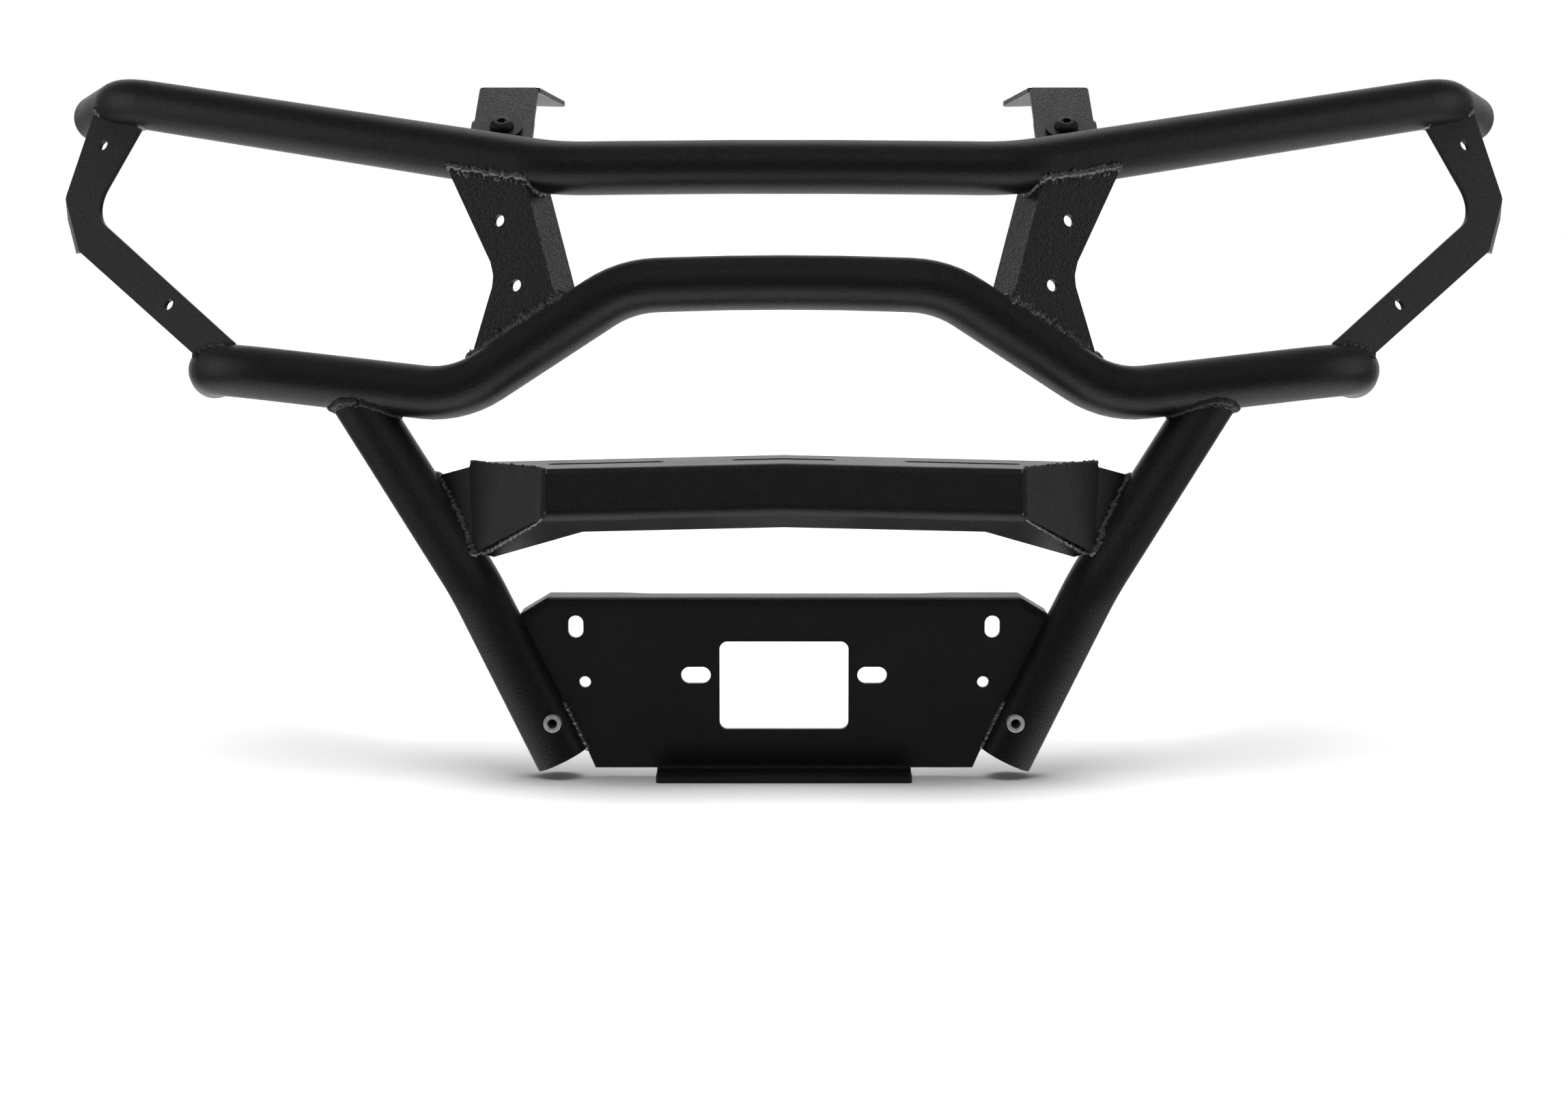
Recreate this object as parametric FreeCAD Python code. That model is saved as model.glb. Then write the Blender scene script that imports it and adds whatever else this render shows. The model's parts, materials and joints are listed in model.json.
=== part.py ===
"""Front grille guard: two bent tube hoops on two legs, with headlight plates, a folded crossmember,
a fairlead plate, rear tabs and a pair of bolted upper brackets.  Millimetres, +X to the viewer's
right, -Y forward, +Z up.  The origin is the centre of the fairlead slots on the plate's front face.
Left and right are as seen from in front.  The right half is modelled and mirrored in X = 0."""
import FreeCAD, Part
import math
import os

V = FreeCAD.Vector

# ---- tube ----------------------------------------------------
TUBE_D = 38.1            # 1.5 in tube, used for both hoops and both legs
TUBE_R = TUBE_D / 2
TUBE_WALL = 2.4
BEND_R = 2 * TUBE_D      # centre line radius of every tube bend

# Top hoop: centre, shoulder, corner and tail end, right half
TOP_CROWN = (0, 62, 356.1)
TOP_SHOULDER = (161, 62, 354)
TOP_CORNER = (514, 271.5, 409.5)
TOP_TAIL = (562, 381, 400.5)
TOP_CROWN_R = 9000

# Lower hoop: centre, shoulder, dip, corner and tail end, right half
LOWER_CROWN = (0, 16, 276)
LOWER_SHOULDER = (110.5, 16, 272)
LOWER_DIP = (230.5, 36, 194)
LOWER_CORNER = (412, 83.8, 211.5)
LOWER_TAIL = (434.5, 198, 201.5)
LOWER_CROWN_R = 2150

# Leg: foot, kink and top, where it meets the underside of the lower hoop
LEG_FOOT = (156, 2.4, -60)
LEG_KINK = (216.4, 2.4, 64)
LEG_TOP = (309, 62, 196)

CAP_T = 3.0              # welded disc on each hoop end
CAP_EDGE_R = 1.2

# ---- fairlead plate ----------------------------------------------------
PLATE_T = 4.76
PLATE_BOTTOM_Z = -65.8
PLATE_TOP_Z = 54.8
PLATE_BOTTOM_HALF = 132.8
PLATE_FOOT = (139.0, -51.7)       # where the edge starts to run along the leg
PLATE_EAR = (185.2, 43.2)         # where it leaves the leg
PLATE_SHOULDER_HALF = 166.0
PLATE_BEND_R = 6.3                # outer radius of the rearward flange
FLANGE_DEPTH_OUTER = 31.0
FLANGE_DEPTH_MIDDLE = 25.0
FLANGE_STEP_HALF = (95.0, 116.0)  # the flange narrows between these half widths
WINDOW_W, WINDOW_H, WINDOW_R = 90.6, 62.4, 5.6
WINDOW_CENTRE_Z = -7.3
FAIRLEAD_SPACING = 123.8          # 4 7/8 in, the usual small winch fairlead
FAIRLEAD_SLOT = (20.8, 11.8)      # length, width
FRAME_SLOT_X, FRAME_SLOT_Z = 146.1, 34.4
FRAME_SLOT = (15.8, 10.6)
FRAME_HOLE_X, FRAME_HOLE_Z, FRAME_HOLE_D = 139.8, -4.8, 8.0
LIP_HALF, LIP_REACH, LIP_TOP_Z = 89.4, 25.0, -67.5
LIP_INNER_R, LIP_CORNER_R = 4.0, 3.0

# ---- leg bung ----------------------------------------------------
BUNG_X, BUNG_Z = 161.8, -31.6
BUNG_D, BUNG_BORE_D, BUNG_LENGTH = 12.6, 6.8, 16.0
BUNG_FACE_Y = -17.8

# ---- crossmember ----------------------------------------------------
SHEET_T = 3.4
CHANNEL_TOP_Z = 153.3             # at the centre; both halves fall away from it
CHANNEL_FALL = 0.0235             # fall per unit width
CHANNEL_FRONT_Y = -47.0
CHANNEL_CHIN = (-57.0, 120.6)     # lower front bend, y and z at the centre
CHANNEL_REAR_Y = 25.0
CHIN_SLOPE = 0.59                 # the underside drops this much per unit towards the rear
CHIN_REAR_Y = 30.0
UNDER_EDGE = ((0, -36.5), (138, -36.8), (202.5, -3.1), (230, -21.2))   # its rear edge, x and y
CHANNEL_TOP_R, CHANNEL_CHIN_R = 5.0, 8.0
END_FRONT = (162, -47, 149.4)     # end plate: upper front, upper rear and lower rear corners
END_REAR = (219.5, 24, 148.0)
END_TOE = (214, -3, 86.0)
WING_TIP = (247, 34.5, 137.4)     # upper outer corner of the strip that reaches the leg
WING_STEP = 4.0                   # the strip starts this far below the end plate's corner
LIGHT_SLOT_Y, LIGHT_SLOT_W = -8.0, 10.0
LIGHT_SLOT_OUTER = (83.0, 164.0)
LIGHT_SLOT_CENTRE = 36.3

# ---- headlight plates, right half ----------------------------------------------------
# Each lies in a plane  y = offset + turn * |x| + lean * z
INNER_PLANE = (0.55, 0.287, -145.0)
INNER_EDGE = ((247.5, 377.9), (239.6, 349.2), (208.3, 288.2), (206.0, 278.9), (206.7, 270.9),
              (227.1, 201.9))
INNER_FOLD = ((188.4, 362.4), (154.0, 243.0))
INNER_FLANGE_DEPTH = 33.5
INNER_FLANGE_TAPER = (20.0, 12.0)
INNER_HOLES = ((202.3, 317.5), (189.1, 272.2))
INNER_KNUCKLE_R = 10.0
OUTER_PLANE = (0.70, 0.565, -319.5)
OUTER_RIM = ((541.5, 405.5), (560.4, 336.5), (560.6, 334.0), (542.8, 294.0), (537.5, 290.4),
             (411.2, 206.8))
OUTER_BORE = ((400.9, 231.4), (534.9, 323.2), (491.8, 400.6))
OUTER_KNUCKLE_R = 27.0
OUTER_HOLES = ((530.7, 375.8), (457.3, 255.5))
EAR_DEPTH, EAR_ANGLE, EAR_TAPER = 20.0, 48.0, (3.5, 16.0)
LAMP_HOLE_D = 8.7

# ---- rear tab and the bolted bracket ----------------------------------------------------
TAB_X, TAB_W, TAB_T = 206.5, 46.0, 3.4
TAB_INCLINE = 32.0                # rises to the rear at this angle
TAB_TOP_Z = 391.0
TAB_SEAT = 2.8                    # upper face of the tab below the hoop axis
TAB_TAIL = 4.0                    # root of the tab, inside the tube before it is coped
TAB_OUTER_R, TAB_INNER_R = 4.5, 2.0
TAB_SLOT = (15.5, 11.0)
SLOT_TO_END = 14.5
FILM = 0.05                       # paint film between parts that slide on each other
BRACKET_W, BRACKET_T = 44.0, 3.4
TONGUE_FRONT, TONGUE_BACK = 13.5, 68.0    # from the hole to the round end and to the bend
TONGUE_END_R = 30.0
BRACKET_HOLE_D = 11.0
BRACKET_BEND = 40.0
NOTCH_W, NOTCH_H = 2.0, 5.0
FRAME_BOLT_HOLE = (0.6, 14.7, 9.8)        # across, down and diameter
FRAME_BOLT_SLOT = (9.2, 41.7, 16.4, 9.8)  # across, down, length and width
BRACKET_FOOT = ((-22, 0), (-20, 26), (-12.5, 55), (38.5, 63), (22, 0))
BRACKET_FOOT_R = 4.0

# ---- M10 hardware ----------------------------------------------------
BOLT_D, BOLT_LENGTH = 9.9, 30.0
HEAD_D, HEAD_H, HEX_SOCKET, SOCKET_DEPTH = 17.5, 5.5, 6.0, 3.2
WASHER_OD, WASHER_ID, WASHER_T = 30.0, 10.6, 2.5
NUT_AF, NUT_H, NUT_BODY_H = 17.0, 10.0, 7.2
NUT_BORE_D = 10.0
INSERT_D, INSERT_H = 13.2, 2.0
UNDER_TAB = TAB_T + 2 * FILM + BRACKET_T   # upper face of the tab to the lower washer


# ---- helpers ----------------------------------------------------
def corner_arc(before, corner, after, radius):
    """The arc of the given radius that rounds a corner, or None where the path is straight."""
    first = (corner - before).normalize()
    second = (after - corner).normalize()
    turn = first.getAngle(second)
    if radius == 0 or turn < 1e-6:
        return None
    reach = radius * math.tan(turn / 2)
    start = corner - first * reach
    end = corner + second * reach
    inward = (second - first).normalize()
    middle = corner + inward * (radius / math.cos(turn / 2) - radius)
    return Part.Arc(start, middle, end).toShape(), start, end


def rounded_wire(points, radii, closed):
    """A wire through the points with each corner rounded to its own radius."""
    points = [V(*p) for p in points]
    count = len(points)
    corners = range(count) if closed else range(1, count - 1)
    arcs = {}
    for i in corners:
        arcs[i] = corner_arc(points[i - 1], points[i], points[(i + 1) % count], radii[i])
    edges = []
    for i in range(count if closed else count - 1):
        j = (i + 1) % count
        start = arcs[i][2] if arcs.get(i) else points[i]
        end = arcs[j][1] if arcs.get(j) else points[j]
        if (end - start).Length > 1e-6:
            edges.append(Part.LineSegment(start, end).toShape())
        if arcs.get(j):
            edges.append(arcs[j][0])
    return Part.Wire(Part.__sortEdges__(edges))


def mirrored(shape):
    return shape.mirror(V(0, 0, 0), V(1, 0, 0))


def largest(shape):
    return max(shape.Solids, key=lambda solid: solid.Volume)


def prism(points, vector, radii=None):
    wire = rounded_wire(points, radii or [0] * len(points), True)
    return Part.Face(wire).extrude(vector)


def rod(path, radius):
    """A solid round bar along a wire."""
    start = path.OrderedEdges[0]
    tangent = start.tangentAt(start.FirstParameter)
    circle = Part.Wire(Part.makeCircle(radius, start.valueAt(start.FirstParameter), tangent))
    return path.makePipeShell([circle], True, True)


def tube(path):
    return rod(path, TUBE_R).cut(rod(path, TUBE_R - TUBE_WALL))


def both_halves(right_points):
    """Mirror a right half, listed from the centre outwards, into one path from left to right."""
    left = [(-x, y, z) for x, y, z in reversed(right_points[1:])]
    return left + list(right_points)


def obround(length, width, along, across, centre, depth):
    """A slot cutter: two round ends joined by flats, extruded by the vector depth."""
    half = along * ((length - width) / 2)
    side = across * (width / 2)
    tip = along * (length / 2)
    edges = [
        Part.LineSegment(centre + half + side, centre - half + side).toShape(),
        Part.Arc(centre - half + side, centre - tip, centre - half - side).toShape(),
        Part.LineSegment(centre - half - side, centre + half - side).toShape(),
        Part.Arc(centre + half - side, centre + tip, centre + half + side).toShape(),
    ]
    return Part.Face(Part.Wire(edges)).extrude(depth)


def drill(diameter, centre, direction, depth):
    """A cylinder cutter centred on a point, reaching depth both ways along the direction."""
    start = centre - direction * depth
    return Part.makeCylinder(diameter / 2, 2 * depth, start, direction)


# ---- tube frame ----------------------------------------------------
def hoop_path(right_points, crown_radius):
    points = both_halves(right_points)
    radii = [BEND_R] * len(points)
    radii[len(points) // 2] = crown_radius
    return rounded_wire(points, radii, False)


TOP_PATH = hoop_path((TOP_CROWN, TOP_SHOULDER, TOP_CORNER, TOP_TAIL), TOP_CROWN_R)
LOWER_PATH = hoop_path((LOWER_CROWN, LOWER_SHOULDER, LOWER_DIP, LOWER_CORNER, LOWER_TAIL),
                       LOWER_CROWN_R)
LEG_PATH = rounded_wire((LEG_FOOT, LEG_KINK, LEG_TOP), (0, BEND_R, 0), False)
TOP_ROD = rod(TOP_PATH, TUBE_R)
LOWER_ROD = rod(LOWER_PATH, TUBE_R)
LEG_ROD = rod(LEG_PATH, TUBE_R)


def end_cap(corner, tail):
    """A welded disc on the open end of a hoop."""
    direction = (V(*tail) - V(*corner)).normalize()
    disc = Part.makeCylinder(TUBE_R, CAP_T, V(*tail), direction)
    rim = [e for e in disc.Edges if e.Closed and e.distToShape(Part.Vertex(V(*tail)))[0] > TUBE_R]
    return disc.makeFillet(CAP_EDGE_R, rim)


def bung_blank():
    return Part.makeCylinder(BUNG_D / 2, BUNG_LENGTH, V(BUNG_X, BUNG_FACE_Y, BUNG_Z), V(0, 1, 0))


def leg():
    """The coped upper end fits the lower hoop; the bung sits in a round hole in the front wall."""
    return largest(tube(LEG_PATH).cut(LOWER_ROD).cut(bung_blank()))


def leg_bung():
    blank = bung_blank()
    bore = drill(BUNG_BORE_D, V(BUNG_X, BUNG_FACE_Y, BUNG_Z), V(0, 1, 0), 2 * BUNG_LENGTH)
    rim = [e for e in blank.Edges if e.Closed and abs(e.BoundBox.YMin - BUNG_FACE_Y) < 1e-6]
    return blank.makeFillet(0.8, rim).cut(bore)


# ---- fairlead plate ----------------------------------------------------
def plate_outline():
    right = [(PLATE_BOTTOM_HALF, PLATE_BOTTOM_Z), PLATE_FOOT, PLATE_EAR, (PLATE_SHOULDER_HALF, PLATE_TOP_Z)]
    left = [(-x, z) for x, z in reversed(right)]
    return [(x, 0, z) for x, z in right + left]


def flanged_blank():
    """A thick block rounded along its top, less a pocket behind: plate plus rearward flange."""
    block = prism(plate_outline(), V(0, FLANGE_DEPTH_OUTER, 0))
    rim = [e for e in block.Edges if e.BoundBox.YMax < 1e-6 and e.BoundBox.ZMin > PLATE_EAR[1] - 1e-6]
    block = block.makeFillet(PLATE_BEND_R, rim)
    slope = (PLATE_TOP_Z - PLATE_EAR[1]) / (PLATE_EAR[0] - PLATE_SHOULDER_HALF)
    angle = math.atan(slope)
    wide = 2 * PLATE_EAR[0]
    shoulder = PLATE_SHOULDER_HALF - PLATE_T * math.tan(angle / 2)
    outer_z = PLATE_EAR[1] - PLATE_T / math.cos(angle) - slope * (wide - PLATE_EAR[0])
    low = PLATE_BOTTOM_Z - wide
    pocket = [(wide, low), (wide, outer_z), (shoulder, PLATE_TOP_Z - PLATE_T)]
    pocket = pocket + [(-x, z) for x, z in reversed(pocket)]
    cutter = prism([(x, PLATE_T, z) for x, z in pocket], V(0, FLANGE_DEPTH_OUTER, 0))
    return block.cut(cutter)


def flange_step():
    """The flange is shallower across the middle, with a slanted step on each side."""
    inner, outer = FLANGE_STEP_HALF
    back = FLANGE_DEPTH_OUTER
    points = [(-outer, back), (-inner, FLANGE_DEPTH_MIDDLE), (inner, FLANGE_DEPTH_MIDDLE), (outer, back)]
    low = PLATE_TOP_Z - 2 * PLATE_T
    return prism([(x, y, low) for x, y in points], V(0, 0, 4 * PLATE_T))


def lip():
    """The forward lip along the bottom edge, bent out of the same plate."""
    outer_r = LIP_INNER_R + PLATE_T
    root = LIP_TOP_Z + LIP_INNER_R
    base = root + 3
    under = LIP_TOP_Z - PLATE_T
    profile = [(PLATE_T, base), (PLATE_T, under), (-LIP_REACH, under), (-LIP_REACH, LIP_TOP_Z),
               (0, LIP_TOP_Z), (0, base)]
    radii = [0, outer_r, 0, 0, LIP_INNER_R, 0]
    bar = prism([(-LIP_HALF, y, z) for y, z in profile], V(2 * LIP_HALF, 0, 0), radii)
    front = [e for e in bar.Edges if e.BoundBox.YMax < 0.01 - LIP_REACH and e.BoundBox.XLength < 0.01]
    return bar.makeFillet(LIP_CORNER_R, front)


def fairlead_plate():
    plate = flanged_blank().cut(flange_step()).fuse(lip()).removeSplitter()
    through = V(0, 3 * PLATE_T, 0)
    front = -PLATE_T
    half_w, half_h = WINDOW_W / 2, WINDOW_H / 2
    corners = [(-half_w, -half_h), (half_w, -half_h), (half_w, half_h), (-half_w, half_h)]
    window = prism([(x, front, WINDOW_CENTRE_Z + z) for x, z in corners], through, [WINDOW_R] * 4)
    plate = plate.cut(window)
    for side in (-1, 1):
        x = side * FAIRLEAD_SPACING / 2
        plate = plate.cut(obround(*FAIRLEAD_SLOT, V(1, 0, 0), V(0, 0, 1), V(x, front, 0), through))
        place = V(side * FRAME_SLOT_X, front, FRAME_SLOT_Z)
        plate = plate.cut(obround(*FRAME_SLOT, V(0, 0, 1), V(1, 0, 0), place, through))
        plate = plate.cut(drill(FRAME_HOLE_D, V(side * FRAME_HOLE_X, 0, FRAME_HOLE_Z), V(0, 1, 0),
                                3 * PLATE_T))
    return largest(plate.cut(LEG_ROD).cut(mirrored(LEG_ROD)))


# ---- crossmember ----------------------------------------------------
def end_plane():
    """Origin and outward normal of the plane that closes the right end of the channel."""
    front, rear, toe = V(*END_FRONT), V(*END_REAR), V(*END_TOE)
    normal = (toe - front).cross(rear - front).normalize()
    return front, normal if normal.x > 0 else normal * -1


def half_space(origin, normal, size):
    """A block that fills everything beyond the plane, within size."""
    helper = V(0, 0, 1) if abs(normal.z) < 0.9 else V(1, 0, 0)
    side = normal.cross(helper).normalize() * size
    up = normal.cross(side).normalize() * size
    corners = [origin + side + up, origin - side + up, origin - side - up, origin + side - up]
    return Part.Face(Part.makePolygon(corners + corners[:1])).extrude(normal * size)


def channel_profile():
    """Closed section of the folded sheet at the centre, top flange, front face and underside."""
    chin_y, chin_z = CHANNEL_CHIN
    under_end = (CHIN_REAR_Y, chin_z - CHIN_SLOPE * (CHIN_REAR_Y - chin_y))
    front = math.atan2(CHANNEL_FRONT_Y - chin_y, CHANNEL_TOP_Z - chin_z)
    under = math.atan(CHIN_SLOPE)
    face_shift = SHEET_T / math.cos(front)
    top_in = CHANNEL_TOP_Z - SHEET_T
    lean = math.tan(front)
    inner_top = (CHANNEL_FRONT_Y + face_shift - lean * SHEET_T, top_in)
    chin_turn = math.pi / 2 - front + under
    bisect = SHEET_T / math.sin(chin_turn / 2)
    aim = (math.pi / 2 - front - under) / 2
    inner_chin = (chin_y + bisect * math.cos(aim), chin_z + bisect * math.sin(aim))
    inner_under = (under_end[0] + SHEET_T * math.sin(under), under_end[1] + SHEET_T * math.cos(under))
    points = [(CHANNEL_REAR_Y, CHANNEL_TOP_Z), (CHANNEL_FRONT_Y, CHANNEL_TOP_Z), CHANNEL_CHIN,
              under_end, inner_under, inner_chin, inner_top, (CHANNEL_REAR_Y, top_in)]
    radii = [0, CHANNEL_TOP_R, CHANNEL_CHIN_R, 0, 0, CHANNEL_CHIN_R - SHEET_T,
             CHANNEL_TOP_R - SHEET_T, 0]
    return [(0, y, z) for y, z in points], radii


def underside_cutter():
    """Trims the underside to its slanted rear edge."""
    points = list(UNDER_EDGE)
    points = points + [(260, -21.2), (260, 90), (0, 90)]
    low = CHANNEL_CHIN[1] - 90
    return prism([(x, y, low) for x, y in points], V(0, 0, 100))


def crossmember_half():
    """Right half of the folded sheet, cut by the end plane and fitted to the leg."""
    points, radii = channel_profile()
    reach = END_REAR[0] + 20
    half = prism(points, V(reach, 0, -CHANNEL_FALL * reach), radii)
    origin, normal = end_plane()
    return largest(half.cut(half_space(origin, normal, 300)).cut(underside_cutter()).cut(LEG_ROD))


def crossmember_channel():
    half = crossmember_half()
    channel = half.fuse(mirrored(half))
    down = V(0, 0, -40)
    top = CHANNEL_TOP_Z + 5
    across = (V(1, 0, 0), V(0, 1, 0))
    slots = [(0, 2 * LIGHT_SLOT_CENTRE)]
    inner, outer = LIGHT_SLOT_OUTER
    slots += [(side * (inner + outer) / 2, outer - inner) for side in (-1, 1)]
    for x, length in slots:
        cutter = obround(length, LIGHT_SLOT_W, *across, V(x, LIGHT_SLOT_Y, top), down)
        channel = channel.cut(cutter)
    return channel


def crossmember_end():
    """The end plate closes the channel; its outer strip is bent round to meet the leg."""
    origin, normal = end_plane()
    chin_y, chin_z = CHANNEL_CHIN
    chin = V(END_FRONT[0], chin_y, chin_z - CHANNEL_FALL * END_FRONT[0])
    chin = chin - normal * (chin - origin).dot(normal)
    front, rear, toe = V(*END_FRONT), V(*END_REAR), V(*END_TOE)
    plate = prism([front, rear, toe, chin], normal * SHEET_T, [2.0, 4.0, 0, 2.0])
    tip = V(*WING_TIP)
    outer_rear, outer_toe = rear + normal * SHEET_T, toe + normal * SHEET_T
    facing = (tip - outer_rear).cross(outer_toe - outer_rear).normalize()
    facing = facing if facing.y > 0 else facing * -1
    tuck = (outer_rear - tip).normalize() * SHEET_T
    top = outer_rear + (outer_toe - outer_rear).normalize() * WING_STEP
    wing = prism([top + tuck, top, tip, outer_toe, outer_toe + tuck], facing * SHEET_T)
    return largest(plate.fuse(wing).cut(LEG_ROD).cut(crossmember_half()))


# ---- headlight plates ----------------------------------------------------
def on_plane(plane, x, z):
    turn, lean, offset = plane
    return V(x, offset + turn * x + lean * z, z)


def rearward(plane):
    turn, lean, _ = plane
    return V(-turn, 1, -lean).normalize()


def inner_headlight_plate():
    """Plate with a waisted outer edge and a deep stiffening flange on its inner edge."""
    back = rearward(INNER_PLANE)
    outline = list(INNER_EDGE) + [INNER_FOLD[1], INNER_FOLD[0]]
    radii = [0, 0, 0, INNER_KNUCKLE_R, 0, 0, 0, 0]
    face = [on_plane(INNER_PLANE, x, z) for x, z in outline]
    sheet = prism(face, back * SHEET_T, radii)
    fold = [on_plane(INNER_PLANE, x, z) for x, z in INNER_FOLD]
    along = (fold[1] - fold[0]).normalize()
    outward = along.cross(back).normalize()
    outward = outward if outward.x > 0 else outward * -1
    deep = back * INNER_FLANGE_DEPTH
    upper, lower = (along * taper for taper in INNER_FLANGE_TAPER)
    flange = prism([fold[0], fold[1], fold[1] + deep - lower, fold[0] + deep + upper],
                   outward * SHEET_T)
    body = sheet.fuse(flange).removeSplitter()
    for x, z in INNER_HOLES:
        body = body.cut(drill(LAMP_HOLE_D, on_plane(INNER_PLANE, x, z), back, 3 * SHEET_T))
    return largest(body.cut(TOP_ROD).cut(LOWER_ROD))


def outer_headlight_plate():
    """Elbow-shaped plate between the hoop corners, with a short ear folded back at the elbow."""
    back = rearward(OUTER_PLANE)
    outline = list(OUTER_RIM) + list(OUTER_BORE)
    radii = [0] * len(outline)
    radii[len(OUTER_RIM) + 1] = OUTER_KNUCKLE_R
    face = [on_plane(OUTER_PLANE, x, z) for x, z in outline]
    body = prism(face, back * SHEET_T, radii)
    upper, lower = (on_plane(OUTER_PLANE, x, z) for x, z in OUTER_RIM[2:4])
    along = (lower - upper).normalize()
    outward = back.cross(along).normalize()
    outward = outward if outward.x > 0 else outward * -1
    angle = math.radians(EAR_ANGLE)
    reach = (outward * math.cos(angle) + back * math.sin(angle)) * EAR_DEPTH
    normal = along.cross(reach).normalize()
    normal = normal if normal.y > 0 else normal * -1
    first, second = (along * taper for taper in EAR_TAPER)
    ear = prism([upper, lower, lower + reach - second, upper + reach + first], normal * SHEET_T)
    body = body.fuse(ear)
    for x, z in OUTER_HOLES:
        body = body.cut(drill(LAMP_HOLE_D, on_plane(OUTER_PLANE, x, z), back, 3 * SHEET_T))
    return largest(body.cut(TOP_ROD).cut(LOWER_ROD))


# ---- tab and bolted joint ----------------------------------------------------
BACK_UP = V(0, math.cos(math.radians(TAB_INCLINE)), math.sin(math.radians(TAB_INCLINE)))
OUT = V(0, -BACK_UP.z, BACK_UP.y)          # out of the tab's upper face, along the bolt
ACROSS = V(1, 0, 0)


def hoop_axis_at(x):
    """Point of the top hoop's straight arm at a given x."""
    start, end = V(*TOP_SHOULDER), V(*TOP_CORNER)
    return start + (end - start) * ((x - start.x) / (end.x - start.x))


TAB_ROOT = hoop_axis_at(TAB_X) - OUT * TAB_SEAT
TAB_REACH = (TAB_TOP_Z - TAB_ROOT.z) / BACK_UP.z
BOLT_POINT = TAB_ROOT + BACK_UP * (TAB_REACH - SLOT_TO_END)   # bolt axis at the upper face


def tab():
    half = TAB_W / 2
    corners = [(-half, -TAB_TAIL), (half, -TAB_TAIL), (half, TAB_REACH), (-half, TAB_REACH)]
    face = [TAB_ROOT + ACROSS * a + BACK_UP * b for a, b in corners]
    plate = prism(face, OUT * -TAB_T, [0, 0, TAB_OUTER_R, TAB_INNER_R])
    place = BOLT_POINT + OUT * TAB_T
    cutter = obround(*TAB_SLOT, ACROSS, BACK_UP, place, OUT * (-3 * TAB_T))
    return largest(plate.cut(cutter).cut(TOP_ROD))


def tongue(top):
    """Flat upper part of the bracket with a shallow round end towards the hoop."""
    half = BRACKET_W / 2
    end = top - BACK_UP * TONGUE_FRONT
    side = BACK_UP * (TONGUE_END_R - math.sqrt(TONGUE_END_R ** 2 - half ** 2))
    bend = top + BACK_UP * TONGUE_BACK
    inner, outer = ACROSS * -half, ACROSS * half
    edges = [Part.Arc(end + inner + side, end, end + outer + side).toShape(),
             Part.LineSegment(end + outer + side, bend + outer).toShape(),
             Part.LineSegment(bend + outer, bend + inner).toShape(),
             Part.LineSegment(bend + inner, end + inner + side).toShape()]
    return Part.Face(Part.Wire(edges)).extrude(OUT * -BRACKET_T)


def bend_sector(root, half, away_out):
    """Rounds the outside of the bend between the tongue and the foot."""
    start = root - ACROSS * half
    edges = [Part.LineSegment(start, start + OUT * BRACKET_T).toShape(),
             Part.Arc(start + OUT * BRACKET_T, start + (OUT + away_out).normalize() * BRACKET_T,
                      start + away_out * BRACKET_T).toShape(),
             Part.LineSegment(start + away_out * BRACKET_T, start).toShape()]
    return Part.Face(Part.Wire(edges)).extrude(ACROSS * (2 * half))


def bracket():
    """Tongue under the tab; behind the bend, a skewed foot that bolts to the vehicle frame."""
    half = BRACKET_W / 2
    top = BOLT_POINT - OUT * (TAB_T + FILM)
    turn = FreeCAD.Rotation(ACROSS, -BRACKET_BEND)
    away, away_out = turn.multVec(BACK_UP), turn.multVec(OUT)
    root = top + BACK_UP * TONGUE_BACK - OUT * BRACKET_T
    outline = [root - ACROSS * a + away * b + away_out * BRACKET_T for a, b in BRACKET_FOOT]
    foot = prism(outline, away_out * -BRACKET_T, [0, 0, BRACKET_FOOT_R, BRACKET_FOOT_R, 0])
    body = tongue(top).fuse(foot).fuse(bend_sector(root, half, away_out)).removeSplitter()
    body = body.cut(drill(BRACKET_HOLE_D, top, OUT, 3 * BRACKET_T))
    across, along, diameter = FRAME_BOLT_HOLE
    place = root - ACROSS * across + away * along
    body = body.cut(drill(diameter, place, away_out, 3 * BRACKET_T))
    across, along, length, width = FRAME_BOLT_SLOT
    place = root - ACROSS * across + away * along + away_out * (2 * BRACKET_T)
    body = body.cut(obround(length, width, away, ACROSS, place, away_out * (-4 * BRACKET_T)))
    for side in (-1, 1):
        notch = Part.makeBox(2 * NOTCH_W, NOTCH_H, 30, V(-NOTCH_W, -NOTCH_H / 2, -15))
        notch.rotate(V(0, 0, 0), ACROSS, TAB_INCLINE - BRACKET_BEND / 2)
        notch.translate(root + ACROSS * (side * half))
        body = body.cut(notch)
    return largest(body)


def hexagon(across_flats, centre, axis, height):
    radius = across_flats / math.sqrt(3)
    other = axis.cross(ACROSS).normalize()
    corners = []
    for i in range(6):
        angle = math.radians(60 * i)
        corners.append(centre + ACROSS * (radius * math.cos(angle)) + other * (radius * math.sin(angle)))
    return prism(corners, axis * height)


def bolt():
    """Button-head socket screw; the head stands on the upper washer."""
    seat = BOLT_POINT + OUT * (FILM + WASHER_T)
    base = Part.makeCylinder(HEAD_D / 2, HEAD_H, seat, OUT)
    rim = [e for e in base.Edges if e.Closed and (e.CenterOfMass - seat).dot(OUT) > HEAD_H / 2]
    head = base.makeFillet(HEAD_H * 0.85, rim)
    socket = hexagon(HEX_SOCKET, seat + OUT * (HEAD_H - SOCKET_DEPTH), OUT, 2 * SOCKET_DEPTH)
    shank = Part.makeCylinder(BOLT_D / 2, BOLT_LENGTH, seat, OUT * -1)
    tip = [e for e in shank.Edges if e.Closed and (e.CenterOfMass - seat).dot(OUT) < -BOLT_LENGTH / 2]
    shank = shank.makeChamfer(1.0, tip)
    return head.cut(socket).fuse(shank).removeSplitter()


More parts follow.
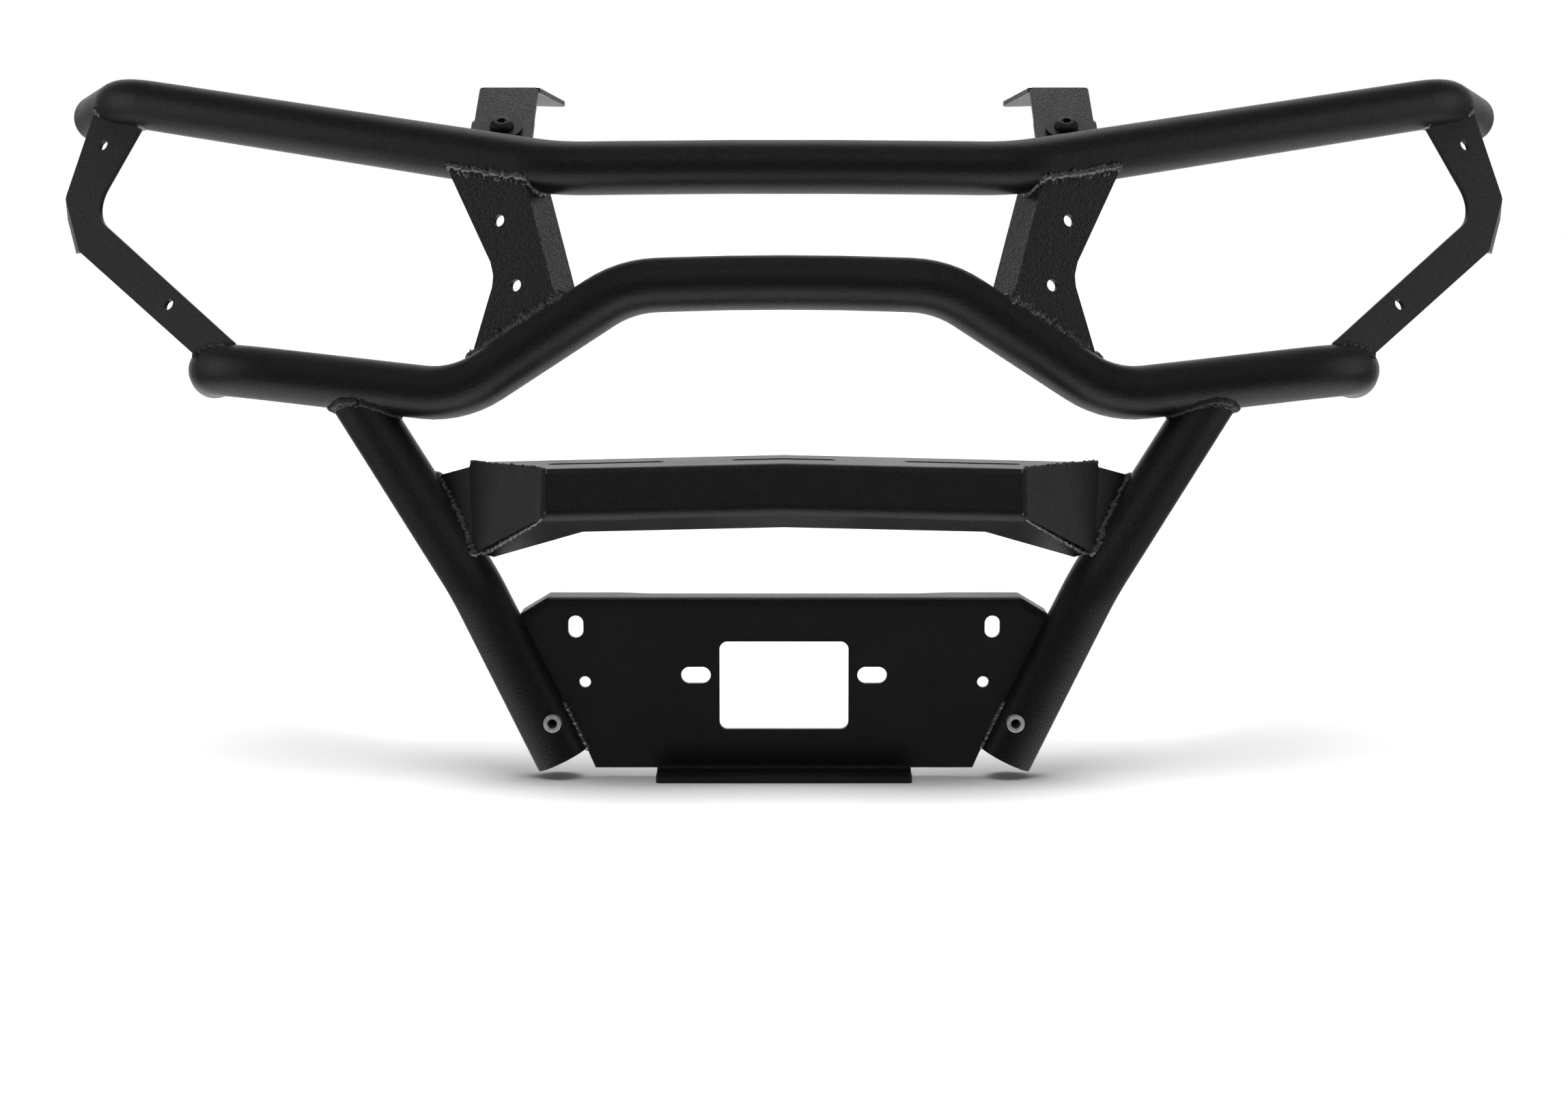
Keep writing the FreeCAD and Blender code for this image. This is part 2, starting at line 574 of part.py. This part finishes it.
def washer(face):
    """A washer whose inner face lies on the given point, built outwards along OUT."""
    disc = Part.makeCylinder(WASHER_OD / 2, WASHER_T, face, OUT)
    return disc.cut(drill(WASHER_ID, face, OUT, 2 * WASHER_T))


def washers():
    upper = washer(BOLT_POINT + OUT * FILM)
    lower = washer(BOLT_POINT - OUT * (UNDER_TAB + WASHER_T))
    return Part.makeCompound([upper, lower])


NUT_FACE = BOLT_POINT - OUT * (UNDER_TAB + WASHER_T)


def nut():
    """Lock nut: a hexagon with a round collar that holds the nylon insert."""
    back = OUT * -1
    body = hexagon(NUT_AF, NUT_FACE, back, NUT_BODY_H)
    corner_cut = Part.makeCone(NUT_AF / 2 + 3.4, NUT_AF / 2 - 0.6, NUT_BODY_H, NUT_FACE, back)
    body = body.common(corner_cut)
    collar = Part.makeCylinder(NUT_AF / 2 - 1.0, NUT_H, NUT_FACE, back)
    rim = [e for e in collar.Edges if e.Closed and (e.CenterOfMass - NUT_FACE).dot(back) > NUT_H / 2]
    collar = collar.makeFillet(1.2, rim)
    body = body.fuse(collar).removeSplitter()
    return body.cut(drill(NUT_BORE_D, NUT_FACE, back, 2 * NUT_H)).cut(insert_blank())


def insert_blank():
    back = OUT * -1
    start = NUT_FACE + back * (NUT_H - INSERT_H - 0.8)
    return Part.makeCylinder(INSERT_D / 2, INSERT_H, start, back)


def nylon_insert():
    return insert_blank().cut(drill(NUT_BORE_D, NUT_FACE, OUT, 2 * NUT_H))


# ---- assembly ----------------------------------------------------
def pair(shape):
    return Part.makeCompound([mirrored(shape), shape])


def build():
    nodes = {
        "top_hoop_tube": tube(TOP_PATH),
        "lower_hoop_tube": tube(LOWER_PATH),
        "top_hoop_end_caps": pair(end_cap(TOP_CORNER, TOP_TAIL)),
        "lower_hoop_end_caps": pair(end_cap(LOWER_CORNER, LOWER_TAIL)),
        "fairlead_plate": fairlead_plate(),
        "crossmember_channel": crossmember_channel(),
        "leg_bungs": pair(leg_bung()),
    }
    sided = {
        "leg_tube": leg,
        "crossmember_end": crossmember_end,
        "inner_headlight_plate": inner_headlight_plate,
        "outer_headlight_plate": outer_headlight_plate,
        "rear_tab": tab,
        "upper_bracket": bracket,
        "bracket_bolt": bolt,
        "bolt_washers": washers,
        "lock_nut": nut,
        "lock_nut_insert": nylon_insert,
    }
    for name, make in sided.items():
        right = make()
        nodes[name + "_right"] = right
        nodes[name + "_left"] = mirrored(right)
    return nodes


os.makedirs("parts", exist_ok=True)
for node, shape in build().items():
    shape.exportStep("parts/" + node + ".step")
    volume = sum(solid.Volume for solid in shape.Solids)
    print(f"{node:28s} solids {len(shape.Solids)} valid {shape.isValid()} volume {volume:10.1f}")
print("bolt point", BOLT_POINT, "axis", OUT)
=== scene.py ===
"""Looks of the front grille guard: powder coat, weld beads, hardware, camera and studio.

Every CAD node keeps its own shape and gets a procedural material.  The weld beads are meshes laid
along the lines where one welded piece touches the next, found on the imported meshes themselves.
"""
import json
import math
import random
from collections import namedtuple

import bmesh
import bpy
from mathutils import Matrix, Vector, noise
from mathutils.bvhtree import BVHTree


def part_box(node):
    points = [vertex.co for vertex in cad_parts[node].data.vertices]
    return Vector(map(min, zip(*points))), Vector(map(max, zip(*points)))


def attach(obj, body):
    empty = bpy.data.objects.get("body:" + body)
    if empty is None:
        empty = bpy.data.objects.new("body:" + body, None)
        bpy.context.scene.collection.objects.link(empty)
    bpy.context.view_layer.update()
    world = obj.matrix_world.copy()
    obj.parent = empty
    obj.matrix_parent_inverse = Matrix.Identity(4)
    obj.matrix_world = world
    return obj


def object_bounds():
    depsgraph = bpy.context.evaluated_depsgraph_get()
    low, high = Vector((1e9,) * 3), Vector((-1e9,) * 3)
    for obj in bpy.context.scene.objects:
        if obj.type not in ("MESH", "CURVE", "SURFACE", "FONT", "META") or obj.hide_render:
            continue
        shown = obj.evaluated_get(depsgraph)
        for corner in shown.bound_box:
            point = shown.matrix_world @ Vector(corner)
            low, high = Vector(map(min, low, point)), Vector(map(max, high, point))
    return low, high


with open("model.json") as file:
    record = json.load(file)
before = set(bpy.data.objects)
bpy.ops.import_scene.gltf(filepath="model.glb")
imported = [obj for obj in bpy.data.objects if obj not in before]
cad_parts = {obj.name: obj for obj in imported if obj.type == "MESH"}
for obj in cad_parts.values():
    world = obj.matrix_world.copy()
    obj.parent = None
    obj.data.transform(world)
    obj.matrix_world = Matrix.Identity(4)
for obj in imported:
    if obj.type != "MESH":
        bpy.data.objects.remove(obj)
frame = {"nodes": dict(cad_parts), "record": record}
CAD_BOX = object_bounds()
NODES = frame["nodes"]
SIDES = ("left", "right")
MM = 0.001
RNG = random.Random(7)


# ---- materials ----------------------------------------------------
class Graph:
    """A material with short ways to add and join nodes."""

    def __init__(self, name):
        self.material = bpy.data.materials.new(name)
        self.material.use_nodes = True
        self.tree = self.material.node_tree
        self.shader = self.tree.nodes["Principled BSDF"]
        self.place = self.add("ShaderNodeTexCoord").outputs["Object"]

    def add(self, kind, **values):
        node = self.tree.nodes.new(kind)
        for key, value in values.items():
            setattr(node, key, value)
        return node

    def join(self, source, target):
        self.tree.links.new(source, target)

    def noise(self, scale, detail=2.0, roughness=0.5):
        node = self.add("ShaderNodeTexNoise")
        node.inputs["Scale"].default_value = scale
        node.inputs["Detail"].default_value = detail
        node.inputs["Roughness"].default_value = roughness
        self.join(self.place, node.inputs["Vector"])
        return node.outputs["Fac"]

    def cells(self, scale):
        node = self.add("ShaderNodeTexVoronoi", feature="SMOOTH_F1")
        node.inputs["Scale"].default_value = scale
        node.inputs["Smoothness"].default_value = 0.6
        self.join(self.place, node.inputs["Vector"])
        return node.outputs["Distance"]

    def spread(self, source, low, high, start=0.3, end=0.7):
        """Maps the source's span start..end to low..high."""
        node = self.add("ShaderNodeMapRange")
        for name, value in zip(("From Min", "From Max", "To Min", "To Max"), (start, end, low, high)):
            node.inputs[name].default_value = value
        self.join(source, node.inputs["Value"])
        return node.outputs["Result"]

    def math(self, operation, first, second):
        node = self.add("ShaderNodeMath", operation=operation)
        for socket, value in zip(node.inputs, (first, second)):
            if isinstance(value, (int, float)):
                socket.default_value = value
            else:
                self.join(value, socket)
        return node.outputs["Value"]

    def blend(self, amount, first, second):
        """A colour between two others; each is a socket or an RGB value."""
        node = self.add("ShaderNodeMix", data_type="RGBA")
        self.join(amount, node.inputs["Factor"])
        for name, value in (("A", first), ("B", second)):
            socket = next(s for s in node.inputs if s.name == name and s.type == "RGBA")
            if isinstance(value, tuple):
                socket.default_value = (*value, 1.0)
            else:
                self.join(value, socket)
        return next(s for s in node.outputs if s.type == "RGBA")

    def bump(self, height, distance, strength, under=None):
        node = self.add("ShaderNodeBump")
        node.inputs["Distance"].default_value = distance
        node.inputs["Strength"].default_value = strength
        self.join(height, node.inputs["Height"])
        if under:
            self.join(under, node.inputs["Normal"])
        return node.outputs["Normal"]

    def soft_edges(self, radius):
        node = self.add("ShaderNodeBevel", samples=4)
        node.inputs["Radius"].default_value = radius
        return node.outputs["Normal"]

    def edge_mask(self, rounded):
        """1 on sharp edges, 0 on flats: how far the rounded normal leaves the true one."""
        true = self.add("ShaderNodeNewGeometry").outputs["True Normal"]
        dot = self.add("ShaderNodeVectorMath", operation="DOT_PRODUCT")
        self.join(rounded, dot.inputs[0])
        self.join(true, dot.inputs[1])
        return self.spread(dot.outputs["Value"], 1.0, 0.0, 0.86, 0.995)

    def finish(self, colour, roughness, normal, constants):
        """Wires the surface to the shader and sets its constants on their own sockets."""
        for name, source in (("Base Color", colour), ("Roughness", roughness), ("Normal", normal)):
            if source is not None:
                self.join(source, self.shader.inputs[name])
        for name, value in constants.items():
            self.shader.inputs[name].default_value = value
        return self.material


def grey(value):
    return (value, value, value)


def powder_coat(name, tone, gloss, grain, depth, painted_relief_shade, pores=0.0):
    """Black powder coat.  Grain is the texture's scale per metre and depth its height.  The hollows of
    that texture are painted darker and its peaks painted lighter than the tone by the given fraction,
    a painted shade and highlight on the relief, and pores is how strong the pits are."""
    g = Graph(name)
    rounded = g.soft_edges(0.5 * MM)
    edge = g.edge_mask(rounded)
    drift = g.noise(22.0, 4.0)
    height = g.noise(grain, 3.0, 0.55)
    if pores:
        height = g.math("ADD", height, g.math("MULTIPLY", g.cells(grain * 0.8), pores))
    relief = g.spread(height, 0.0, 1.0, 0.34, 0.66 + pores * 0.5)

    dusty = (tone * 1.2, tone * 1.22, tone * 1.35)
    # bright flecks in the base colour: painted sparkle glints of the powder
    painted_sparkle = g.spread(g.noise(2600.0, 2.0), 0.0, 0.30, 0.60, 0.8)
    # lighter edges: partly powder rubbed thin on the edges, partly a painted edge highlight
    worn_edges_and_highlight = g.math("MULTIPLY", edge, g.spread(g.noise(160.0), 0.15, 0.6))
    # painted shade in the texture's hollows and painted highlight on its peaks, keyed to the bump
    # height
    shade = g.blend(relief, grey(tone * (1 - painted_relief_shade)), grey(tone * (1 + painted_relief_shade)))
    shade = g.blend(g.spread(drift, 0.0, 0.3), shade, dusty)
    shade = g.blend(painted_sparkle, shade, grey(tone * 5))
    shade = g.blend(worn_edges_and_highlight, shade, grey(tone * 3))

    rough = g.math("ADD", g.spread(drift, gloss - 0.03, gloss + 0.03),
                   g.spread(relief, 0.05, -0.05, 0, 1))
    rough = g.math("SUBTRACT", rough, g.math("MULTIPLY", edge, 0.05))
    normal = g.bump(height, depth, 1.0, rounded)
    normal = g.bump(g.noise(60.0, 2.0), 0.12 * MM, 0.35, normal)
    return g.finish(shade, rough, normal,
                    {"Specular IOR Level": 0.5, "Sheen Weight": 0.04, "Sheen Roughness": 0.3})


def weld_coat(name, tone, gloss, relief, ior):
    """The same coat over weld metal, which is lumpy and glossier."""
    g = Graph(name)
    lumps = g.noise(900.0, 3.0)
    # lighter on the lumps' crests and darker in their hollows: painted highlight and shade keyed to
    # the bump
    shade = g.blend(g.spread(lumps, 0.0, 1.0), grey(tone * 0.8), grey(tone * 1.9))
    return g.finish(shade, g.spread(g.noise(420.0), gloss, gloss + 0.18), g.bump(lumps, relief, 1.0),
                    {"Specular IOR Level": 0.85, "IOR": ior})


def machined_steel(name):
    """Bare steel of the bungs, mottled by a little oil and finely tooled."""
    g = Graph(name)
    shade = g.blend(g.spread(g.noise(300.0, 3.0), 0.0, 1.0), (0.50, 0.49, 0.47), (0.80, 0.79, 0.77))
    tooling = g.bump(g.noise(2600.0, 2.0), 0.05 * MM, 0.6, g.soft_edges(0.3 * MM))
    return g.finish(shade, g.spread(g.noise(1500.0), 0.24, 0.42), tooling, {"Metallic": 0.55})


def black_oxide(name, tone, gloss):
    """Blackened steel of the fasteners, rubbed a little on the edges."""
    g = Graph(name)
    rounded = g.soft_edges(0.3 * MM)
    cloud = g.noise(260.0, 4.0)
    rubbed = g.math("MULTIPLY", g.edge_mask(rounded), g.spread(g.noise(900.0), 0.1, 0.7))
    shade = g.blend(g.spread(cloud, 0.0, 1.0), grey(tone * 0.7), (tone * 1.5, tone * 1.45, tone * 1.4))
    shade = g.blend(rubbed, shade, (0.16, 0.155, 0.15))
    return g.finish(shade, g.spread(cloud, gloss - 0.06, gloss + 0.08),
                    g.bump(g.noise(2400.0, 2.0), 0.04 * MM, 0.7, rounded), {"Metallic": 0.6})


def nylon(name):
    """Dull black plastic of the lock nuts' inserts."""
    g = Graph(name)
    shade = g.blend(g.spread(g.noise(500.0), 0.0, 1.0), (0.03, 0.03, 0.033), (0.06, 0.06, 0.065))
    return g.finish(shade, g.spread(g.noise(1200.0), 0.45, 0.62),
                    g.bump(g.noise(1800.0), 0.05 * MM, 0.6), {"Subsurface Weight": 0.05})


SLOT_MATERIALS = {
    "powder_black": powder_coat("powder_satin", tone=0.0075, gloss=0.36, grain=760.0,
                                depth=0.30 * MM, painted_relief_shade=0.6),
    "powder_coarse": powder_coat("powder_coarse", tone=0.0095, gloss=0.30, grain=640.0,
                                 depth=0.75 * MM, painted_relief_shade=0.8, pores=0.3),
    "bare_steel": machined_steel("turned_steel"),
    "black_zinc": black_oxide("black_oxide", tone=0.03, gloss=0.42),
    "nylon": nylon("black_nylon"),
}
RIPPLED = weld_coat("powder_over_weld", tone=0.011, gloss=0.16, relief=0.45 * MM, ior=2.2)
FLOWED = weld_coat("powder_over_flowed_weld", tone=0.009, gloss=0.32, relief=0.18 * MM, ior=1.42)


def dress_nodes():
    """Gives each CAD node the material of its slot in the record."""
    for part in frame["record"]["subparts"]:
        node = NODES[part["node"]]
        node.data.materials.clear()
        node.data.materials.append(SLOT_MATERIALS[part["material_slot"]])


# ---- weld beads ----------------------------------------------------
CONTACT = 0.45 * MM       # how near two welded faces lie
SEAM = 0.002 * MM         # vertices nearer than this are one
JOINT = 0.05 * MM         # edge ends nearer than this belong to one run
STEP = 0.5 * MM           # spacing of a bead's rings
RING = 14                 # points round a bead
SHORTEST = 3 * MM         # stretches shorter than this get no bead
SMOOTHING = 4             # passes that even out a run
TAPER = 4                 # rings over which a bead's end closes
FEWEST = 4                # rings that make a bead
CRESCENT = 0.6            # how far a ripple's middle runs ahead of its edges, in ripples
LUMP = 1.5 * MM           # size of the small lumps
SURFACES = {}

Bead = namedtuple("Bead", "width height pitch rough coat")
HEAVY = Bead(3.5 * MM, 2.6 * MM, 2.2 * MM, 0.65, RIPPLED)
WIDE = Bead(5.4 * MM, 3.8 * MM, 2.6 * MM, 0.65, RIPPLED)
PLAIN = Bead(2.6 * MM, 2.0 * MM, 2.2 * MM, 0.5, RIPPLED)
THIN = Bead(1.8 * MM, 1.3 * MM, 1.8 * MM, 0.5, RIPPLED)
SMOOTH = Bead(3.3 * MM, 2.5 * MM, 3.0 * MM, 0.25, FLOWED)

# Where some welds stop
PLATE_TACKS = (26 * MM, 62 * MM)           # an outer plate's front, bare between these, from its tip
END_PLATE_TACKS = (122 * MM, 146 * MM)     # an end plate's upright front edge, bare between these
FAIRLEAD_WELD_TOP = -18 * MM               # the fairlead plate is welded to the legs below this
FAIRLEAD_REAR_WELD = (-5 * MM, 20 * MM)    # and on its back, over this height range


def surface(node):
    """The node's mesh with its seams closed, and a tree for distances to it."""
    if node not in SURFACES:
        mesh = bmesh.new()
        mesh.from_mesh(NODES[node].data)
        bmesh.ops.remove_doubles(mesh, verts=mesh.verts, dist=SEAM)
        mesh.faces.ensure_lookup_table()
        SURFACES[node] = mesh, BVHTree.FromBMesh(mesh)
    return SURFACES[node]


def contact_edges(piece, other):
    """Edges of one piece's mesh where its face leaves the other piece's surface."""
    mesh, _ = surface(piece)
    _, tree = surface(other)

    def touching(face):
        spot, normal, _, distance = tree.find_nearest(face.calc_center_median(), 4 * CONTACT)
        return spot is not None and distance < CONTACT and normal.dot(face.normal) < -0.5

    touch = {face.index: touching(face) for face in mesh.faces}
    found = []
    for edge in mesh.edges:
        marks = [touch[f.index] for f in edge.link_faces]
        if len(marks) == 2 and marks[0] != marks[1]:
            free = next(f for f in edge.link_faces if not touch[f.index])
            found.append((edge.verts[0].co.copy(), edge.verts[1].co.copy(), free.normal.copy()))
    return found, tree


def chains(edges):
    """Joins loose edges into ordered runs of (point, free face normal)."""
    def key(p):
        return tuple(round(c / JOINT) for c in p)

    def neighbours(i):
        return len(ends[key(edges[i][0])]) + len(ends[key(edges[i][1])])

    ends = {}
    for i, (a, b, _) in enumerate(edges):
        ends.setdefault(key(a), []).append(i)
        ends.setdefault(key(b), []).append(i)
    used = set()
    runs = []
    for first in sorted(range(len(edges)), key=neighbours):
        if first in used:
            continue
        used.add(first)
        a, b, normal = edges[first]
        if len(ends[key(b)]) == 1:
            a, b = b, a
        run = [(a, normal), (b, normal)]
        while True:
            nearby = [i for i in ends[key(run[-1][0])] if i not in used]
            if not nearby:
                break
            used.add(nearby[0])
            a, b, normal = edges[nearby[0]]
            run.append((b if key(a) == key(run[-1][0]) else a, normal))
        runs.append(run)
    return runs


def resampled(run):
    """Evenly spaced points along a run, gently smoothed, with the free normal of each."""
    out = []
    carry = 0.0
    for (a, first), (b, second) in zip(run, run[1:]):
        length = (b - a).length
        while carry < length:
            t = carry / length
            out.append([a.lerp(b, t), first.lerp(second, t)])
            carry += STEP
        carry -= length
    for _ in range(SMOOTHING):
        spots = [p.copy() for p, _ in out]
        facing = [n.copy() for _, n in out]
        for i in range(1, len(out) - 1):
            out[i][0] = (spots[i - 1] + 2 * spots[i] + spots[i + 1]) / 4
            out[i][1] = (facing[i - 1] + 2 * facing[i] + facing[i + 1]) / 4
    return out


def bead_mesh(mesh, line, tree, look):
    """Sweeps one bead along a line: overlapping crescents, each a little off its neighbours."""
    rough = look.rough
    count = len(line)
    phase = RNG.random()
    crescents = {}
    rings = []
    for i, (spot, free) in enumerate(line):
        ahead = line[min(i + 1, count - 1)][0] - line[max(i - 1, 0)][0]
        if ahead.length < 1e-9:
            continue
        ahead.normalize()
        out = free + tree.find_nearest(spot)[1]
        out -= ahead * out.dot(ahead)
        if out.length < 1e-6:
            continue
        out.normalize()
        side = ahead.cross(out)
        travel = i * STEP / look.pitch + phase
        end = math.sqrt(min(1.0, (i + 0.6) / TAPER, (count - i - 0.4) / TAPER))
        ring = []
        for j in range(RING):
            angle = 2 * math.pi * j / RING
            across, up = math.cos(angle), math.sin(angle)
            local = travel + CRESCENT * across * across
            swell, shift, lift = crescents.setdefault(
                int(local), (1 + rough * RNG.uniform(-0.5, 0.5), rough * RNG.uniform(-0.4, 0.4),
                             rough * RNG.uniform(-0.3, 0.3)))
            size = swell * (1.06 - (0.10 + 0.34 * rough) * (local % 1.0)) * end
            place = (spot + side * ((across * size + shift) * look.width)
                     + out * ((up * size + lift) * look.height))
            lump = noise.noise(place / LUMP) * rough * 0.55 * MM
            ring.append(mesh.verts.new(place + (side * across + out * up) * lump))
        rings.append(ring)
    if len(rings) < FEWEST:
        return
    for a, b in zip(rings, rings[1:]):
        for j in range(RING):
            k = (j + 1) % RING
            mesh.faces.new((a[j], a[k], b[k], b[j]))
    mesh.faces.new(list(reversed(rings[0])))
    mesh.faces.new(rings[-1])


def weld(piece, other, look, keep=None):
    """Lays beads where a piece meets another; keep picks the stretches by point and facing."""
    edges, tree = contact_edges(piece, other)
    mesh = bmesh.new()
    for run in chains(edges):
        stretches = [[]]
        for point in resampled(run):
            if keep is None or keep(*point):
                stretches[-1].append(point)
            elif stretches[-1]:
                stretches.append([])
        for stretch in stretches:
            if len(stretch) * STEP > SHORTEST:
                bead_mesh(mesh, stretch, tree, look)
    if not mesh.verts:
        raise RuntimeError(f"{piece} and {other} don't touch")
    bmesh.ops.recalc_face_normals(mesh, faces=mesh.faces)
    data = bpy.data.meshes.new(f"weld_{piece}_{other}")
    mesh.to_mesh(data)
    mesh.free()
    data.polygons.foreach_set("use_smooth", [True] * len(data.polygons))
    data.materials.append(look.coat)
    piece_of_weld = bpy.data.objects.new(data.name, data)
    bpy.context.scene.collection.objects.link(piece_of_weld)
    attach(piece_of_weld, "guard")


def weld_outer_plate(side):
    """The top edge is welded along its back and only tacked at its two front corners."""
    outer = f"outer_headlight_plate_{side}"
    low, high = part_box(outer)
    reach = max(abs(low.x), abs(high.x))
    near, far = PLATE_TACKS
    weld(outer, "top_hoop_tube", PLAIN,
         keep=lambda p, n: n.y > 0 or abs(p.x) > reach - near or abs(p.x) < reach - far)
    weld(outer, "lower_hoop_tube", SMOOTH)


def weld_everything():
    bare_low, bare_high = END_PLATE_TACKS
    rear_low, rear_high = FAIRLEAD_REAR_WELD
    for side in SIDES:
        leg, end_plate = f"leg_tube_{side}", f"crossmember_end_{side}"
        weld(f"inner_headlight_plate_{side}", "top_hoop_tube", HEAVY)
        weld(f"inner_headlight_plate_{side}", "lower_hoop_tube", WIDE)
        weld_outer_plate(side)
        weld(leg, "lower_hoop_tube", SMOOTH)
        weld(end_plate, leg, HEAVY)
        weld("crossmember_channel", end_plate, THIN,
             keep=lambda p, n: n.z > 0.5 or n.z < -0.3 or p.z > bare_high or p.z < bare_low)
        weld(f"rear_tab_{side}", "top_hoop_tube", PLAIN)
        weld("fairlead_plate", leg, PLAIN,
             keep=lambda p, n: p.z < FAIRLEAD_WELD_TOP or (n.y > 0.3 and rear_low < p.z < rear_high))


# ---- camera and studio ----------------------------------------------------
CAMERA_PLACE = (0.0, -1.9764, 0.318)
CAMERA_PITCH = 6.7             # degrees below level
CAMERA_LENS, CAMERA_SENSOR = 65.34, 36.0

FLOOR_RADIUS = 30.0
FLOOR_GAP = 0.1 * MM           # the floor lies this far below the guard
SKY_STRENGTH, SKY_ANGLE, SKY_TILT = 3.9, 46.0, -2.0     # W per square metre, degrees
AIM = (0.0, 0.1, 0.1)
SOFTBOXES = {                  # place, size in metres, power in watts
    "front_top": ((0.0, -2.1, 2.5), (3.4, 1.3), 4.2),
    "overhead": ((0.0, 1.7, 2.5), (2.2, 1.0), 9.5),
    "left": ((-2.6, 0.1, 0.7), (1.8, 1.8), 6.0),
    "right": ((2.6, 0.1, 0.7), (1.8, 1.8), 6.0),
}
# How bright the surroundings look to the coat, by direction: (from, to, strength at from, at to)
BEHIND = (0.74, 0.95, 0.06, 1.35)      # towards +Y
ACROSS = (0.42, 0.68, 1.0, 0.1)        # what is left of that towards either side
BELOW = (-0.80, -0.28, 1.5, 0.06)      # along Z


def build_camera():
    data = bpy.data.cameras.new("camera")
    data.sensor_width = CAMERA_SENSOR
    data.lens = CAMERA_LENS
    data.clip_start, data.clip_end = 0.05, 100.0
    camera = bpy.data.objects.new("camera", data)
    camera.location = CAMERA_PLACE
    camera.rotation_euler = (math.radians(90 - CAMERA_PITCH), 0.0, 0.0)
    bpy.context.scene.collection.objects.link(camera)
    bpy.context.scene.camera = camera


def build_floor(level):
    mesh = bmesh.new()
    bmesh.ops.create_circle(mesh, cap_ends=True, radius=FLOOR_RADIUS, segments=96)
    data = bpy.data.meshes.new("floor")
    mesh.to_mesh(data)
    mesh.free()
    floor = bpy.data.objects.new("floor", data)
    floor.location.z = level
    g = Graph("studio_floor")
    shade = g.blend(g.spread(g.noise(2.0), 0.0, 1.0), grey(0.90), grey(0.93))
    data.materials.append(g.finish(shade, None, None, {"Roughness": 0.9, "Specular IOR Level": 0.1}))
    bpy.context.scene.collection.objects.link(floor)
    floor.visible_glossy = False


def softbox(name, place, size, power):
    data = bpy.data.lights.new(name, "AREA")
    data.shape = "RECTANGLE"
    data.size, data.size_y = size
    data.energy = power
    light = bpy.data.objects.new(name, data)
    light.location = place
    light.rotation_euler = (Vector(AIM) - Vector(place)).to_track_quat("-Z", "Y").to_euler()
    light.visible_camera = False
    bpy.context.scene.collection.objects.link(light)


def skylight():
    """A soft light from nearly straight above that whitens the floor and leaves a contact shadow."""
    data = bpy.data.lights.new("skylight", "SUN")
    data.energy = SKY_STRENGTH
    data.angle = math.radians(SKY_ANGLE)
    light = bpy.data.objects.new("skylight", data)
    light.rotation_euler = (math.radians(SKY_TILT), 0.0, 0.0)
    light.visible_glossy = False
    bpy.context.scene.collection.objects.link(light)


def build_world():
    """White to the camera; what the coat reflects is bright behind and below, and dim elsewhere."""
    world = bpy.data.worlds.new("studio")
    bpy.context.scene.world = world
    world.use_nodes = True
    tree = world.node_tree
    tree.nodes.clear()
    link = tree.links.new

    def add(kind, **values):
        node = tree.nodes.new(kind)
        for key, value in values.items():
            setattr(node, key, value)
        return node

    def ramp(source, values):
        node = add("ShaderNodeMapRange", interpolation_type="SMOOTHSTEP")
        for name, value in zip(("From Min", "From Max", "To Min", "To Max"), values):
            node.inputs[name].default_value = value
        link(source, node.inputs["Value"])
        return node.outputs["Result"]

    split = add("ShaderNodeSeparateXYZ")
    link(add("ShaderNodeTexCoord").outputs["Generated"], split.inputs["Vector"])
    level = add("ShaderNodeMath", operation="MAXIMUM")
    across = add("ShaderNodeMath", operation="ABSOLUTE")
    link(split.outputs["X"], across.inputs[0])
    behind = add("ShaderNodeMath", operation="MULTIPLY")
    link(ramp(split.outputs["Y"], BEHIND), behind.inputs[0])
    link(ramp(across.outputs["Value"], ACROSS), behind.inputs[1])
    link(behind.outputs["Value"], level.inputs[0])
    link(ramp(split.outputs["Z"], BELOW), level.inputs[1])
    soft = add("ShaderNodeBackground")
    link(level.outputs["Value"], soft.inputs["Strength"])
    clear = add("ShaderNodeBackground")
    clear.inputs["Color"].default_value = (1, 1, 1, 1)
    clear.inputs["Strength"].default_value = 1.0
    mix = add("ShaderNodeMixShader")
    link(add("ShaderNodeLightPath").outputs["Is Camera Ray"], mix.inputs["Fac"])
    link(soft.outputs["Background"], mix.inputs[1])
    link(clear.outputs["Background"], mix.inputs[2])
    link(mix.outputs["Shader"], add("ShaderNodeOutputWorld").inputs["Surface"])


def build_studio():
    build_floor(CAD_BOX[0].z - FLOOR_GAP)
    build_world()
    skylight()
    for name, settings in SOFTBOXES.items():
        softbox(name, *settings)
    bpy.context.scene.view_settings.view_transform = "Standard"


dress_nodes()
weld_everything()
build_camera()
build_studio()
